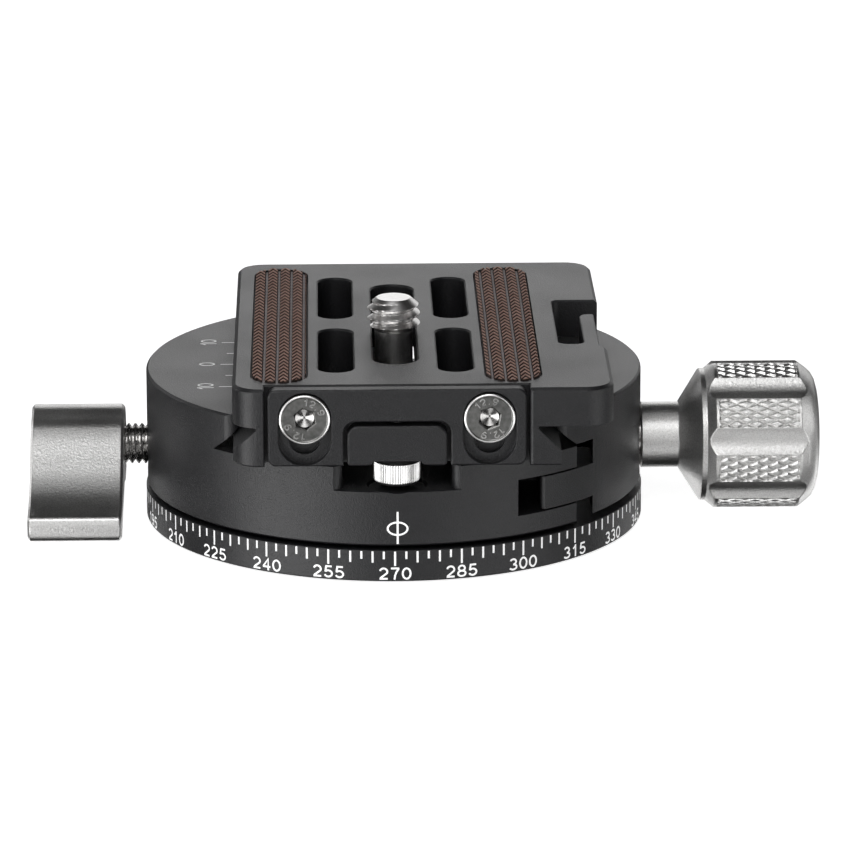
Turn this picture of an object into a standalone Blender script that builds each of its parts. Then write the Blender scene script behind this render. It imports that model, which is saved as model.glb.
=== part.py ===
"""Panoramic tripod head: a graduated base, a quick-release clamp that pans on it, and a sliding camera plate.

Frame: origin on the pan axis in the base's underside, +Z up, +X towards the clamp knob,
-Y towards the index mark. Lengths below are in millimetres and are scaled to metres.
"""
import math

import bmesh
import bpy
from mathutils import Vector

MM = 0.001

# ---- driving dimensions (mm) -------------------------------------------------
GAP = 0.3                    # clearance between neighbouring pieces

BASE_R = 30.2                # graduated base
BASE_H = 3.8
DRUM_R = 9.8                 # brake drum that stands on the base
DRUM_TOP = 11.1
DRUM_BORE_R = 6.6
INSERT_BORE_R = 4.0          # 3/8 in tripod thread, minor diameter
BASE_SCREW_PCR = 8.2

BODY_R = 30.0                # rotating clamp body
BODY_Z0 = 4.3
BODY_Z1 = 18.3
FLOOR_Z = 13.7               # floor of the clamp channel
DRUM_CLEAR_R = 10.2
CAP_BORE_R = 12.4
SHOULDER_Z = 10.6
FIXED_END_X = 21.3           # where the fixed half of the body stops
JAW_X = 23.3                 # where the moving jaw starts
LIP_X = 16.92                # lip tip of either jaw, at the body's top
JAW_UNDERCUT_X = 21.27
JAW_LIP_Z = 13.95
TONGUE_Z = (6.95, 10.95)
TONGUE_X = 16.9
TONGUE_Y = (12.0, 29.0)
RECESS_HALF_X = 6.4          # pockets for the plate's safety screws
RECESS_Z = 10.8
RECESS_Y = 13.5

CLAMP_Z = 9.05               # clamp screw axis
CLAMP_SCREW_R = 2.5
KNOB_R = 8.95
KNOB_FLUTES = 8
LOCK_Z = 8.46                # lock screw axis
LOCK_SCREW_R = 2.5
PAD_R = 1.6

PLATE_Y = 30.15              # half length
PLATE_X0 = -19.15
PLATE_X1 = 25.25
PLATE_Z0 = 14.0
PLATE_Z1 = 23.3
EAR_Z = 18.7                 # underside of the ears and of the wing
NECK_X = 16.4
NECK_Z = 18.4
DOVE_X = 19.1                # 38.2 mm dovetail
DOVE_Z = 15.7
CORNER_R = 3.3
REBATE_HALF_X = 15.6
REBATE_Y = -28.0
DOOR_HALF_X = 5.8
DOOR_Z = 18.8
FLANGE_HALF_X = 15.05
FLANGE_T = 1.65
FLANGE_TOP = 23.2
FLANGE_SCREW_X = 10.74
FLANGE_SCREW_Z = 19.65
WINDOW = (4.97, 9.12, 2.45, 22.45)
SLOT_HALF_W = 2.62
SLOT_HALF_L = 18.9
PAD_X = (10.5, 16.9)
PAD_HALF_Y = 27.0
PAD_CORNER = 3.15             # corners of the rubber strips
SAFETY_Y = 26.6
SCREW_Y = -3.0               # camera screw, 1/4 in thread
SCREW_R = 3.175
SCREW_TOP = 27.35

SEG_BIG = 96
SEG = 32
SEG_SMALL = 20


# ---- clean scene -------------------------------------------------------------
for old in list(bpy.data.objects):
    bpy.data.objects.remove(old, do_unlink=True)


def material(name, rgb, rough, metal):
    mat = bpy.data.materials.new(name)
    mat.use_nodes = True
    bsdf = mat.node_tree.nodes["Principled BSDF"]
    bsdf.inputs["Base Color"].default_value = (*rgb, 1.0)
    bsdf.inputs["Roughness"].default_value = rough
    bsdf.inputs["Metallic"].default_value = metal
    mat.diffuse_color = (*rgb, 1.0)
    return mat


BLACK = dict(rgb=(0.03, 0.03, 0.032), rough=0.45, metal=0.6)
SILVER = dict(rgb=(0.55, 0.54, 0.53), rough=0.38, metal=1.0)
STEEL = dict(rgb=(0.62, 0.61, 0.60), rough=0.25, metal=1.0)
BRASS = dict(rgb=(0.70, 0.52, 0.25), rough=0.35, metal=1.0)
RUBBER = dict(rgb=(0.11, 0.055, 0.045), rough=0.8, metal=0.0)
PLASTIC = dict(rgb=(0.75, 0.75, 0.72), rough=0.5, metal=0.0)


# ---- mesh helpers ------------------------------------------------------------
def add_object(name, bm, look=None, origin=(0.0, 0.0, 0.0), parent=None):
    """Turn a bmesh given in millimetres into an object whose origin is at `origin` (mm)."""
    bmesh.ops.recalc_face_normals(bm, faces=bm.faces)
    shift = Vector(origin)
    for vert in bm.verts:
        vert.co = (vert.co - shift) * MM
    mesh = bpy.data.meshes.new(name)
    bm.to_mesh(mesh)
    bm.free()
    mesh.shade_smooth()
    mesh.set_sharp_from_angle(angle=math.radians(32))
    obj = bpy.data.objects.new(name, mesh)
    bpy.context.scene.collection.objects.link(obj)
    obj.location = shift * MM
    if look is None:
        obj.hide_render = True
        obj.display_type = 'WIRE'
    else:
        mesh.materials.append(material(name + "_finish", **look))
    if parent is not None:
        obj.parent = parent
        obj.matrix_parent_inverse = parent.matrix_world.inverted()
    return obj


def pivot(name, origin):
    empty = bpy.data.objects.new(name, None)
    empty.location = Vector(origin) * MM
    bpy.context.scene.collection.objects.link(empty)
    bpy.context.view_layer.update()
    return empty


def frame_for(axis, centre):
    """Map (t along axis, u, v) to space; right-handed for X, Y and Z axes."""
    cx, cy, cz = centre
    if axis == 'X':
        return lambda t, u, v: (cx + t, cy + u, cz + v)
    if axis == 'Y':
        return lambda t, u, v: (cx + v, cy + t, cz + u)
    return lambda t, u, v: (cx + u, cy + v, cz + t)


def turned(stations, axis='Z', centre=(0, 0, 0), segs=SEG, loop=False, radius=None, phase=0.0):
    """Solid of revolution through (t, r) stations; r = 0 makes a pole; loop closes it as a ring."""
    bm = bmesh.new()
    place = frame_for(axis, centre)
    rings = []
    for t, r in stations:
        if r == 0:
            rings.append([bm.verts.new(place(t, 0, 0))])
            continue
        ring = []
        for i in range(segs):
            a = phase + 2 * math.pi * i / segs
            rr = radius(t, r, a) if radius else r
            ring.append(bm.verts.new(place(t, rr * math.cos(a), rr * math.sin(a))))
        rings.append(ring)
    pairs = list(zip(rings, rings[1:]))
    if loop:
        pairs.append((rings[-1], rings[0]))
    for a, b in pairs:
        for i in range(segs):
            j = (i + 1) % segs
            if len(a) == 1 and len(b) == 1:
                break
            if len(a) == 1:
                bm.faces.new((a[0], b[i], b[j]))
            elif len(b) == 1:
                bm.faces.new((a[i], b[0], a[j]))
            else:
                bm.faces.new((a[i], b[i], b[j], a[j]))
    return bm


def prism(points, axis, lo, hi):
    """Extrude a closed outline from lo to hi; outline is (y,z) for X, (x,z) for Y, (x,y) for Z."""
    bm = bmesh.new()

    def at(p, t):
        if axis == 'X':
            return (t, p[0], p[1])
        if axis == 'Y':
            return (p[0], t, p[1])
        return (p[0], p[1], t)
    a = [bm.verts.new(at(p, lo)) for p in points]
    b = [bm.verts.new(at(p, hi)) for p in points]
    bm.faces.new(a)
    bm.faces.new(b)
    n = len(points)
    for i in range(n):
        j = (i + 1) % n
        bm.faces.new((a[i], a[j], b[j], b[i]))
    return bm


def box(x0, x1, y0, y1, z0, z1):
    return prism([(x0, y0), (x1, y0), (x1, y1), (x0, y1)], 'Z', z0, z1)


def rounded(x0, x1, y0, y1, r, n=6):
    """Rectangle outline with corner radius r, or (bl, br, tr, tl) radii."""
    radii = r if isinstance(r, (tuple, list)) else (r, r, r, r)
    out = []
    corners = (((x0, y0), (1, 1), 180, radii[0]), ((x1, y0), (-1, 1), 270, radii[1]),
               ((x1, y1), (-1, -1), 0, radii[2]), ((x0, y1), (1, -1), 90, radii[3]))
    for (px, py), (sx, sy), start, rad in corners:
        if rad <= 0:
            out.append((px, py))
            continue
        for k in range(n + 1):
            a = math.radians(start + 90 * k / n)
            out.append((px + sx * rad + rad * math.cos(a), py + sy * rad + rad * math.sin(a)))
    return out


def cylinder(axis, lo, hi, r, centre=(0, 0, 0), segs=SEG):
    return turned([(lo, 0), (lo, r), (hi, r), (hi, 0)], axis, centre, segs)


def cut(target, bm, name, operation='DIFFERENCE'):
    tool = add_object(name, bm)
    mod = target.modifiers.new(name, 'BOOLEAN')
    mod.operation = operation
    mod.object = tool
    mod.solver = 'EXACT'
    return tool


def hexagon(axis, lo, hi, across, centre):
    return turned([(lo, 0), (lo, across / math.sqrt(3)), (hi, across / math.sqrt(3)), (hi, 0)],
                  axis, centre, 6)


def coil(centre, axis_from, axis_to, coil_r, wire_r, turns, per_turn=10, sides=5):
    """Closed helical wire along X."""
    bm = bmesh.new()
    steps = int(turns * per_turn)
    rings = []
    for i in range(steps + 1):
        f = i / steps
        a = 2 * math.pi * turns * f
        x = axis_from + (axis_to - axis_from) * f
        radial = Vector((0, math.cos(a), math.sin(a)))
        tangent = Vector(((axis_to - axis_from) / (2 * math.pi * turns),
                          -coil_r * math.sin(a), coil_r * math.cos(a))).normalized()
        side = tangent.cross(radial)
        middle = Vector((x, centre[1], centre[2])) + radial * coil_r
        ring = []
        for k in range(sides):
            b = 2 * math.pi * k / sides
            ring.append(bm.verts.new(middle + (radial * math.cos(b) + side * math.sin(b)) * wire_r))
        rings.append(ring)
    for a, b in zip(rings, rings[1:]):
        for k in range(sides):
            m = (k + 1) % sides
            bm.faces.new((a[k], a[m], b[m], b[k]))
    bm.faces.new(rings[0])
    bm.faces.new(rings[-1])
    return bm


# ---- joint pivots ------------------------------------------------------------
pan_axis = pivot("pan_axis", (0, 0, 0))
clamp_axis = pivot("clamp_axis", (JAW_X, 0, CLAMP_Z))
lock_axis = pivot("lock_axis", (-BODY_R, 0, LOCK_Z))
camera_axis = pivot("camera_axis", (0, SCREW_Y, PLATE_Z1))

# ---- base --------------------------------------------------------------------
base = add_object("graduated_base", turned([
    (0.0, DRUM_BORE_R), (0.0, BASE_R - 0.6), (0.6, BASE_R),
    (BASE_H, BASE_R),
    (BASE_H, 20.0), (2.6, 20.0), (2.6, 14.0), (BASE_H, 14.0),
    (BASE_H, DRUM_R), (DRUM_TOP, DRUM_R), (DRUM_TOP, DRUM_BORE_R)],
    segs=SEG_BIG, loop=True), BLACK)
add_object("tripod_thread_insert", turned([
    (0.4, INSERT_BORE_R + 0.5), (0.4, DRUM_BORE_R - GAP), (9.6, DRUM_BORE_R - GAP),
    (9.6, INSERT_BORE_R), (0.9, INSERT_BORE_R)], loop=True), STEEL)
add_object("lower_thrust_washer", turned([
    (2.9, 14.3), (2.9, 19.7), (4.0, 19.7), (4.0, 14.3)], segs=48, loop=True), PLASTIC)
add_object("upper_thrust_washer", turned([
    (10.85, 10.45), (10.85, 12.1), (11.15, 12.1), (11.15, 10.45)], segs=48, loop=True), PLASTIC)
keeper = add_object("retaining_plate", turned([
    (11.4, 2.5), (11.4, 12.0), (12.3, 12.0), (12.3, 2.5)], segs=48, loop=True), STEEL)
for k in range(3):
    a = math.radians(90 + 120 * k)
    at = (BASE_SCREW_PCR * math.cos(a), BASE_SCREW_PCR * math.sin(a), 0)
    cut(base, cylinder('Z', 5.2, 12.0, 1.3, at, SEG_SMALL), "drum_hole_%d" % (k + 1))
    cut(keeper, turned([(11.0, 0), (11.0, 1.3), (11.55, 1.3), (12.35, 2.15), (12.7, 2.15), (12.7, 0)],
                       'Z', at, SEG_SMALL), "keeper_hole_%d" % (k + 1))
    screw = add_object("retaining_screw_%d" % (k + 1), turned([
        (5.6, 0), (5.6, 0.9), (5.8, 1.0), (11.5, 1.0), (12.3, 1.85), (12.3, 0.75),
        (11.7, 0.75), (11.7, 0)], 'Z', at, SEG_SMALL), STEEL)

# ---- rotating clamp body -----------------------------------------------------
body = add_object("clamp_body", turned([
    (BODY_Z0, 0), (BODY_Z0, BODY_R - 0.2), (BODY_Z0 + 0.2, BODY_R), (BODY_Z1 - 0.3, BODY_R),
    (BODY_Z1, BODY_R - 0.3), (BODY_Z1, 0)], segs=SEG_BIG), BLACK, parent=pan_axis)
channel = [(-LIP_X, BODY_Z1), (-LIP_X, 20), (32, 20), (32, 3), (FIXED_END_X, 3), (FIXED_END_X, FLOOR_Z),
           (-(JAW_UNDERCUT_X + JAW_LIP_Z - FLOOR_Z), FLOOR_Z)]
cut(body, prism(channel, 'Y', -32, 32), "channel_cut")
cut(body, turned([(3, 0), (3, DRUM_CLEAR_R), (SHOULDER_Z, DRUM_CLEAR_R), (SHOULDER_Z, CAP_BORE_R),
                  (15, CAP_BORE_R), (15, 0)], segs=48), "bearing_bore")
for side, sign in (("front", -1), ("rear", 1)):
    y0, y1 = sorted((sign * RECESS_Y, sign * 33))
    cut(body, prism(rounded(-RECESS_HALF_X, RECESS_HALF_X, y0, y1, 1.5), 'Z', RECESS_Z, 15),
        "recess_" + side)
    y0, y1 = sorted((sign * (TONGUE_Y[0] - GAP), sign * 33))
    cut(body, box(14.2, 23, y0, y1, TONGUE_Z[0] - 0.2, TONGUE_Z[1] + 0.2), "tongue_groove_" + side)
    cut(body, cylinder('X', 16.5, 23, 2.1, (0, sign * 8.0, CLAMP_Z), SEG_SMALL), "spring_pocket_" + side)
cut(body, cylinder('X', 11.5, 23, 3.9, (0, 0, CLAMP_Z), 32), "clamp_nut_bore")
cut(body, turned([(-33, 0), (-33, LOCK_SCREW_R + GAP), (-13.95, LOCK_SCREW_R + GAP), (-13.95, PAD_R + GAP),
                  (-9.0, PAD_R + GAP), (-9.0, 0)], 'X', (0, 0, LOCK_Z), 32), "lock_bore")

add_object("clamp_nut", turned([
    (13.3, 2.8), (13.3, 3.6), (21.0, 3.6), (21.0, 2.8)], 'X', (0, 0, CLAMP_Z), 32, loop=True),
    BRASS, parent=pan_axis)
add_object("cover_disc", turned([
    (12.6, 0), (12.6, 12.1), (13.3, 12.1), (13.5, 11.9), (13.5, 0)], segs=48), BLACK, parent=pan_axis)
for side, sign in (("front", -1), ("rear", 1)):
    add_object("jaw_spring_" + side, coil((0, sign * 8.0, CLAMP_Z), 17.1, 24.3, 1.45, 0.3, 5),
               STEEL, parent=pan_axis)

# ---- moving jaw --------------------------------------------------------------
jaw = add_object("moving_jaw", prism([
    (JAW_X, 4.6), (31, 4.6), (31, BODY_Z1), (LIP_X, BODY_Z1), (JAW_UNDERCUT_X, JAW_LIP_Z),
    (JAW_X, JAW_LIP_Z)], 'Y', -30.5, 30.5), BLACK, origin=(JAW_X, 0, CLAMP_Z), parent=pan_axis)
for side, sign in (("front", -1), ("rear", 1)):
    y0, y1 = sorted((sign * TONGUE_Y[0], sign * TONGUE_Y[1]))
    cut(jaw, prism([(TONGUE_X, y0), (JAW_X + 1, y0), (JAW_X + 1, y1), (TONGUE_X, y1)], 'Z', *TONGUE_Z),
        "tongue_" + side, 'UNION')
cut(jaw, turned([(4, 0), (4, BODY_R), (BODY_Z1 - 0.3, BODY_R), (BODY_Z1 + 0.2, BODY_R - 0.5),
                 (BODY_Z1 + 0.2, 0)], segs=SEG_BIG), "jaw_round", 'INTERSECT')
cut(jaw, turned([(22, 0), (22, 2.9), (28.6, 2.9), (28.6, 4.5), (33, 4.5), (33, 0)],
                'X', (0, 0, CLAMP_Z), 32), "jaw_screw_hole")
for side, sign in (("front", -1), ("rear", 1)):
    cut(jaw, cylinder('X', 22, 24.9, 2.1, (0, sign * 8.0, CLAMP_Z), SEG_SMALL), "jaw_pocket_" + side)

# ---- clamp knob --------------------------------------------------------------
def fluted(t, r, a):
    """Eight shallow scallops along the grip."""
    if t < 37.7:
        return r
    pitch = 2 * math.pi / KNOB_FLUTES
    off = (a - math.radians(125.5) + pitch / 2) % pitch - pitch / 2
    half = 1.62
    across = KNOB_R * math.sin(off)
    if abs(across) >= half:
        return r
    depth = 0.65 * (1 - (across / half) ** 2)
    return min(r, KNOB_R - depth)


KNOB_SEGS = 64
add_object("clamp_knob", turned([
    (45.0, 0), (45.0, 2.8), (30.0, 2.8), (30.0, 3.8), (30.2, 4.0), (34.65, 4.0), (37.15, 8.05),
    (37.75, 8.05), (38.8, KNOB_R), (49.1, KNOB_R), (50.2, 8.1), (51.1, 6.8), (51.5, 5.6), (51.5, 0)],
    'X', (0, 0, CLAMP_Z), KNOB_SEGS, radius=lambda t, r, a: fluted(t, r, a) if r > 6.0 else r),
    SILVER, origin=(JAW_X, 0, CLAMP_Z), parent=clamp_axis)
add_object("clamp_screw", turned([
    (13.3, 0), (13.3, 2.1), (13.7, CLAMP_SCREW_R), (44.7, CLAMP_SCREW_R), (44.7, 0)],
    'X', (0, 0, CLAMP_Z), 32), STEEL, origin=(JAW_X, 0, CLAMP_Z), parent=clamp_axis)
add_object("clamp_thrust_washer", turned([
    (28.9, 2.85), (28.9, 4.2), (29.7, 4.2), (29.7, 2.85)], 'X', (0, 0, CLAMP_Z), 32, loop=True),
    STEEL, origin=(JAW_X, 0, CLAMP_Z), parent=clamp_axis)

# ---- pan lock ----------------------------------------------------------------
add_object("lock_pad", turned([
    (-13.65, 0), (-13.65, PAD_R), (-10.3, PAD_R), (-10.1, PAD_R - 0.2), (-10.1, 0)],
    'X', (0, 0, LOCK_Z), SEG_SMALL), BRASS, origin=(-BODY_R, 0, LOCK_Z), parent=pan_axis)
add_object("lock_screw", turned([
    (-40.0, 0), (-40.0, LOCK_SCREW_R), (-14.6, LOCK_SCREW_R), (-14.25, 2.1), (-14.25, 0)],
    'X', (0, 0, LOCK_Z), 32), STEEL, origin=(-BODY_R, 0, LOCK_Z), parent=lock_axis)


def paddle_outline():
    """Hub round the screw axis, flowing into a thin wing that ends in a flared tip; (y, z)."""
    hub = 4.85
    pts = []
    for k in range(19):                          # hub, from the wing's top round the back to its underside
        a = math.radians(118 - 215 * k / 18)
        pts.append((hub * math.cos(a), LOCK_Z + hub * math.sin(a)))
    pts += [(-3.4, 4.05), (-6.5, 3.35), (-9.5, 2.3), (-12.0, 1.15), (-14.2, 0.35)]
    pts += [(-15.6, 0.3), (-16.6, 0.9), (-17.0, 2.0), (-16.9, 3.2), (-16.4, 4.0)]
    pts += [(-15.2, 4.35), (-13.6, 4.8), (-11.6, 5.7), (-9.6, 7.1), (-7.7, 8.9), (-5.7, 10.9), (-4.1, 12.1)]
    return pts


lever = add_object("lock_knob", prism(paddle_outline(), 'X', -43.9, -32.75), SILVER,
                   origin=(-BODY_R, 0, LOCK_Z), parent=lock_axis)
cut(lever, cylinder('X', -40.3, -31, LOCK_SCREW_R + GAP, (0, 0, LOCK_Z), 32), "lock_knob_bore")

# ---- camera plate ------------------------------------------------------------
plate = add_object("camera_plate", prism([
    (-DOVE_X, PLATE_Z0), (DOVE_X, PLATE_Z0), (DOVE_X, DOVE_Z), (NECK_X, NECK_Z), (NECK_X, EAR_Z),
    (PLATE_X1, EAR_Z), (PLATE_X1, PLATE_Z1), (PLATE_X0, PLATE_Z1), (PLATE_X0, EAR_Z),
    (-NECK_X, EAR_Z), (-NECK_X, NECK_Z), (-DOVE_X, DOVE_Z)], 'Y', -PLATE_Y, PLATE_Y),
    BLACK, origin=(0, 0, PLATE_Z0), parent=pan_axis)
cut(plate, prism(rounded(PLATE_X0 - 0.001, PLATE_X1 + 0.001, -PLATE_Y - 0.001, PLATE_Y + 0.001, CORNER_R), 'Z', 12, 25),
    "plate_outline", 'INTERSECT')
cut(plate, prism([(-REBATE_HALF_X, 12), (-DOOR_HALF_X, 12), (-DOOR_HALF_X, DOOR_Z - 1), (-DOOR_HALF_X + 1, DOOR_Z),
                  (DOOR_HALF_X - 1, DOOR_Z), (DOOR_HALF_X, DOOR_Z - 1), (DOOR_HALF_X, 12), (REBATE_HALF_X, 12),
                  (REBATE_HALF_X, 25), (-REBATE_HALF_X, 25)], 'Y', -32, REBATE_Y), "flange_rebate")
cut(plate, prism(rounded(-SLOT_HALF_W, SLOT_HALF_W, -SLOT_HALF_L, SLOT_HALF_L, 2.6), 'Z', 12, 25), "centre_slot")
for sx in (-1, 1):
    for sy in (-1, 1):
        x0, x1 = sorted((sx * WINDOW[0], sx * WINDOW[1]))
        y0, y1 = sorted((sy * WINDOW[2], sy * WINDOW[3]))
        cut(plate, prism(rounded(x0, x1, y0, y1, 2.0, 5), 'Z', 12, 25), "window_%d_%d" % (sx + 1, sy + 1))
    x0, x1 = sorted((sx * (PAD_X[0] - GAP), sx * (PAD_X[1] + GAP)))
    cut(plate, prism(rounded(x0, x1, -PAD_HALF_Y - GAP, PAD_HALF_Y + GAP, PAD_CORNER + GAP, 5), 'Z', 22.5, 25),
        "pad_pocket_%d" % (sx + 1))
    cut(plate, cylinder('Y', -32, -22.9, 1.8, (sx * FLANGE_SCREW_X, 0, FLANGE_SCREW_Z), SEG_SMALL),
        "flange_screw_hole_%d" % (sx + 1))
cut(plate, prism(rounded(-10.2, 10.2, -23.7, 23.7, 2.0, 5), 'Z', 12, 17.4), "underside_recess")
for side, sign in (("front", -1), ("rear", 1)):
    cut(plate, turned([(12, 0), (12, 3.2), (14.75, 3.2), (14.75, 1.8), (19.2, 1.8), (19.2, 0)],
                      'Z', (0, sign * SAFETY_Y, 0), SEG_SMALL), "safety_hole_" + side)
cut(plate, prism([(19.6, -9.4), (20.3, -10.3), (22.15, -10.3), (22.65, -9.5), (22.65, 3.0), (23.5, 3.75),
                  (24.45, 3.75), (24.45, -11.0), (24.9, -11.9), (27, -11.9), (27, 10.5), (20.6, 10.5),
                  (19.6, 9.5)], 'Z', 12, 25), "strap_slot")

for side, sx in (("left", -1), ("right", 1)):
    x0, x1 = sorted((sx * PAD_X[0], sx * PAD_X[1]))
    add_object("rubber_strip_" + side, prism(rounded(x0, x1, -PAD_HALF_Y, PAD_HALF_Y, PAD_CORNER, 5), 'Z', 22.8, 23.55),
               RUBBER, origin=(0, 0, PLATE_Z1), parent=pan_axis)
    add_object("flange_screw_" + side, turned([
        (-30.05, 0), (-30.05, 2.85), (-29.9, 3.0), (-29.15, 3.0), (-29.15, 1.5), (-23.4, 1.5), (-23.2, 1.3),
        (-23.2, 0)], 'Y', (sx * FLANGE_SCREW_X, 0, FLANGE_SCREW_Z), 32), STEEL,
        origin=(sx * FLANGE_SCREW_X, REBATE_Y, FLANGE_SCREW_Z), parent=pan_axis)
for side, sign in (("front", -1), ("rear", 1)):
    add_object("safety_screw_" + side, turned([
        (11.25, 0), (11.25, 2.55), (11.5, 2.8), (14.15, 2.8), (14.35, 2.6), (14.35, 1.5), (18.7, 1.5),
        (18.9, 1.3), (18.9, 0)], 'Z', (0, sign * SAFETY_Y, 0), 32), STEEL,
        origin=(0, sign * SAFETY_Y, PLATE_Z0), parent=pan_axis)

# ---- anti-twist flange -------------------------------------------------------
flange = add_object("anti_twist_flange", prism(
    rounded(-FLANGE_HALF_X, FLANGE_HALF_X, PLATE_Z0, FLANGE_TOP, 1.0, 4), 'Y',
    REBATE_Y - GAP - FLANGE_T, REBATE_Y - GAP), BLACK, origin=(0, REBATE_Y, PLATE_Z0), parent=pan_axis)
cut(flange, prism(rounded(-DOOR_HALF_X - 0.45, DOOR_HALF_X + 0.45, 12, DOOR_Z + 0.5, 1.2, 4), 'Y', -32, -27),
    "flange_notch")
for k, sx in enumerate((-1, 1)):
    cx = sx * FLANGE_SCREW_X
    cut(flange, prism(rounded(cx - 1.85, cx + 1.85, 17.05 - 1.85, 19.75 + 1.85, 1.84, 8), 'Y', -32, -27),
        "flange_slot_%d" % k)
    cut(flange, prism(rounded(cx - 3.12, cx + 3.12, 17.25 - 3.12, 19.75 + 3.12, 3.11, 10), 'Y', -32, -28.85),
        "flange_counterbore_%d" % k)

# ---- camera screw ------------------------------------------------------------
add_object("camera_screw", turned([
    (14.5, 0), (14.5, 5.2), (14.7, 5.5), (15.9, 5.5), (15.9, 2.3), (23.6, 2.3), (23.9, SCREW_R), (26.6, SCREW_R),
    (27.2, 2.2), (SCREW_TOP, 2.0), (SCREW_TOP, 0)], 'Z', (0, SCREW_Y, 0), SEG), STEEL,
    origin=(0, SCREW_Y, PLATE_Z1), parent=camera_axis)
add_object("camera_screw_washer", turned([
    (16.25, 2.65), (16.25, 5.5), (17.05, 5.5), (17.05, 2.65)], 'Z', (0, SCREW_Y, 0), SEG, loop=True),
    PLASTIC, origin=(0, SCREW_Y, PLATE_Z1), parent=camera_axis)
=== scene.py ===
import math

import bmesh
import bpy
import numpy as np
from mathutils import Matrix, Vector


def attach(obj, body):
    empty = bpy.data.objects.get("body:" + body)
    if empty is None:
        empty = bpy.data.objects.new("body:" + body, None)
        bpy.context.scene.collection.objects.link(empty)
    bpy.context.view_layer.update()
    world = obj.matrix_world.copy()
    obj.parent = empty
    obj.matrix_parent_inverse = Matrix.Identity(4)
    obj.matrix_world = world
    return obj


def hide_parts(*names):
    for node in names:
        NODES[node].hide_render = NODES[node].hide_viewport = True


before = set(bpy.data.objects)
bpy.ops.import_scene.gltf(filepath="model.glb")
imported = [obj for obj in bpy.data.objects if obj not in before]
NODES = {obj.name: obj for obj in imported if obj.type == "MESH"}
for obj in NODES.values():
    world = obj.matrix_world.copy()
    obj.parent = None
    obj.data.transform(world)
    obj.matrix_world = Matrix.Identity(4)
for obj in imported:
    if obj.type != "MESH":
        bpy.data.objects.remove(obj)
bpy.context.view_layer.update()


MM = 0.001
scene = bpy.context.scene


# ============================================================================
# Camera: fitted to the rims, the dial's marks and the plate's edges
# ============================================================================
FOCAL_PX = 5299.9
CAM_DIST = 645.5
CAM_ELEV = math.radians(15.788)
CAM_YAW = math.radians(-1.106)
CAM_ROLL = math.radians(-0.155)
CAM_TARGET = Vector((3.51, 0.0, 10.77))


def make_camera():
    back = Vector((math.sin(CAM_YAW) * math.cos(CAM_ELEV), -math.cos(CAM_YAW) * math.cos(CAM_ELEV),
                   math.sin(CAM_ELEV)))
    eye = CAM_TARGET + back * CAM_DIST
    right = (-back).cross(Vector((0, 0, 1))).normalized()
    up = right.cross(-back)
    r = right * math.cos(CAM_ROLL) + up * math.sin(CAM_ROLL)
    u = -right * math.sin(CAM_ROLL) + up * math.cos(CAM_ROLL)
    data = bpy.data.cameras.new("camera")
    data.sensor_width = 36.0
    data.lens = FOCAL_PX / 845.0 * 36.0
    data.clip_start = 0.05
    data.clip_end = 50.0
    cam = bpy.data.objects.new("camera", data)
    scene.collection.objects.link(cam)
    m = Matrix((r, u, back)).transposed().to_4x4()
    m.translation = eye * MM
    cam.matrix_world = m
    scene.camera = cam
    return cam


make_camera()


# ============================================================================
# Materials
# ============================================================================
def new_material(name):
    mat = bpy.data.materials.new(name)
    mat.use_nodes = True
    nt = mat.node_tree
    bsdf = nt.nodes["Principled BSDF"]
    coord = nt.nodes.new("ShaderNodeTexCoord")
    return mat, nt, bsdf, coord.outputs["Object"]


def noise(nt, vec, scale, detail=2.0, rough=0.5, stretch=None):
    if stretch is not None:
        mapping = nt.nodes.new("ShaderNodeMapping")
        mapping.inputs["Scale"].default_value = stretch
        nt.links.new(vec, mapping.inputs["Vector"])
        vec = mapping.outputs["Vector"]
    n = nt.nodes.new("ShaderNodeTexNoise")
    n.inputs["Scale"].default_value = scale
    n.inputs["Detail"].default_value = detail
    n.inputs["Roughness"].default_value = rough
    nt.links.new(vec, n.inputs["Vector"])
    return n.outputs["Fac"]


def ranged(nt, value, lo, hi, src=(0.3, 0.7)):
    m = nt.nodes.new("ShaderNodeMapRange")
    m.inputs["From Min"].default_value = src[0]
    m.inputs["From Max"].default_value = src[1]
    m.inputs["To Min"].default_value = lo
    m.inputs["To Max"].default_value = hi
    nt.links.new(value, m.inputs["Value"])
    return m.outputs["Result"]


def tinted(nt, value, a, b, src=(0.3, 0.7)):
    ramp = nt.nodes.new("ShaderNodeValToRGB")
    ramp.color_ramp.elements[0].position = src[0]
    ramp.color_ramp.elements[0].color = (*a, 1)
    ramp.color_ramp.elements[1].position = src[1]
    ramp.color_ramp.elements[1].color = (*b, 1)
    nt.links.new(value, ramp.inputs["Fac"])
    return ramp.outputs["Color"]


def bump(nt, height, strength, distance, normal=None):
    b = nt.nodes.new("ShaderNodeBump")
    b.inputs["Strength"].default_value = strength
    b.inputs["Distance"].default_value = distance
    nt.links.new(height, b.inputs["Height"])
    if normal is not None:
        nt.links.new(normal, b.inputs["Normal"])
    return b.outputs["Normal"]


def soft_edges(nt, radius):
    b = nt.nodes.new("ShaderNodeBevel")
    b.samples = 4
    b.inputs["Radius"].default_value = radius
    return b.outputs["Normal"]


def anodised(name, dark, light, rough, grain=0.55, ior=1.5):
    mat, nt, bsdf, vec = new_material(name)
    fine = noise(nt, vec, 9000, 2.0, 0.6)
    blast = noise(nt, vec, 5200, 2.0, 0.5)
    broad = noise(nt, vec, 90, 3.0, 0.5)
    nt.links.new(tinted(nt, fine, dark, light), bsdf.inputs["Base Color"])
    nt.links.new(ranged(nt, broad, rough - 0.025, rough + 0.03), bsdf.inputs["Roughness"])
    n = bump(nt, blast, grain, 0.00009, soft_edges(nt, 0.00008))
    nt.links.new(bump(nt, fine, grain, 0.00004, n), bsdf.inputs["Normal"])
    bsdf.inputs["IOR"].default_value = ior
    return mat


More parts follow.
